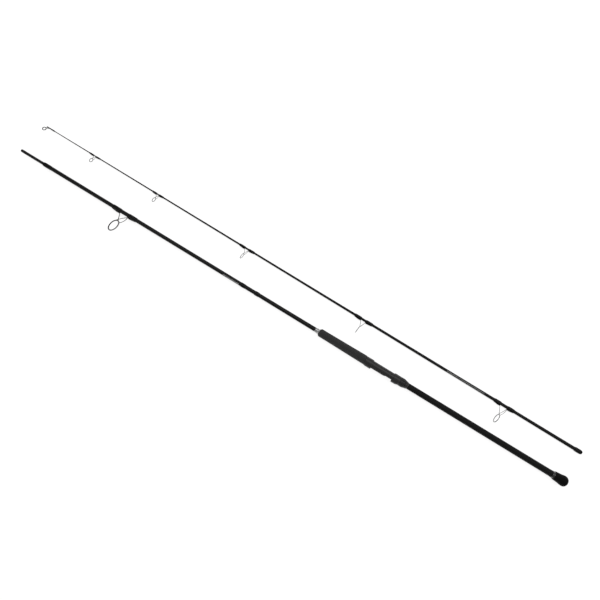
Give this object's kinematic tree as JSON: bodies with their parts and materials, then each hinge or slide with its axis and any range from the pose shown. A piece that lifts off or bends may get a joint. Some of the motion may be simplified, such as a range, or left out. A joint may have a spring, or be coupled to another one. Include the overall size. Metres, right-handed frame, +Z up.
{
  "type": "two-piece fishing rod",
  "caption": "Two-piece casting rod in its two sections, with wire line guides, a screw reel seat, a foam foregrip, a sleeved rear grip and a rubber butt cap.",
  "frame": {"origin": "on the surface that the two sections lie on, at the middle of their outline seen from above", "axes": "+X along the rod towards the butt cap, +Y from the butt section to the tip section, -Y the side that the guides point to, +Z up"},
  "size_m": [1.881, 0.1725, 0.04],
  "materials": {
    "blank": "satin carbon",
    "spigot": "ground carbon",
    "black_plastic": "moulded",
    "whipping": "thread under clear varnish",
    "guide_steel": "polished wire",
    "dark_steel": "smoked wire",
    "ring_ceramic": "polished",
    "dark_ceramic": "polished",
    "tip_ceramic": "polished",
    "satin_metal": "satin",
    "collar_metal": "dark anodised",
    "nut_metal": "black anodised",
    "hood_steel": "dull",
    "seat_plastic": "satin",
    "foregrip_foam": "foam",
    "grip_sleeve": "shrink sleeve",
    "cap_rubber": "moulded",
    "bush": "resin-bonded fibre"
  },
  "bodies": {
    "butt_section": {"butt_blank": "blank", "spigot": "spigot", "spigot_plug": "black_plastic", "blank_end_whipping": "whipping", "butt_guide_frame": "dark_steel", "butt_guide_ring": "dark_ceramic", "butt_guide_front_whipping": "whipping", "butt_guide_rear_whipping": "whipping", "upper_trim_whipping": "whipping", "lower_trim_whipping": "whipping", "winding_check": "satin_metal", "foregrip": "foregrip_foam", "reel_seat_body": "seat_plastic", "seat_bushes": "bush", "fixed_hood_liner": "hood_steel", "seat_end_ring": "seat_plastic", "seat_trim_ring": "collar_metal", "rear_grip": "grip_sleeve", "butt_collar": "collar_metal", "butt_cap": "cap_rubber"},
    "sliding_hood": {"sliding_hood": "seat_plastic", "sliding_hood_liner": "hood_steel"},
    "locking_nut": {"locking_nut": "nut_metal"},
    "tip_section": {"tip_blank": "blank", "ferrule_whipping": "whipping", "tip_top_frame": "dark_steel", "tip_top_ring": "tip_ceramic", "tip_top_whipping": "whipping", "guide_1_frame": "guide_steel", "guide_1_ring": "ring_ceramic", "guide_1_front_whipping": "whipping", "guide_1_rear_whipping": "whipping", "guide_2_frame": "guide_steel", "guide_2_ring": "ring_ceramic", "guide_2_front_whipping": "whipping", "guide_2_rear_whipping": "whipping", "guide_3_frame": "guide_steel", "guide_3_ring": "ring_ceramic", "guide_3_front_whipping": "whipping", "guide_3_rear_whipping": "whipping", "guide_4_frame": "guide_steel", "guide_4_ring": "ring_ceramic", "guide_4_front_whipping": "whipping", "guide_4_rear_whipping": "whipping", "guide_5_frame": "guide_steel", "guide_5_ring": "ring_ceramic", "guide_5_front_whipping": "whipping", "guide_5_rear_whipping": "whipping"}
  },
  "joints": [
    {"name": "hood_slide", "type": "slide", "parent": "butt_section", "child": "sliding_hood", "axis": [-1, 0, 0], "range_m": [0, 0.02]},
    {"name": "nut_turn", "type": "hinge", "parent": "sliding_hood", "child": "locking_nut", "pos_m": [0.3728, -0.01953, 0.0162], "axis": [-1, 0, 0], "range_deg": [0, 2880]},
    {"name": "tip_section_pull", "type": "slide", "parent": "butt_section", "child": "tip_section", "axis": [-1, 0, 0], "range_m": [0, 0.077]}
  ],
  "couplings": [
    {"joint": "nut_turn", "follows": "hood_slide", "rad_per_m": 2513.3}
  ]
}
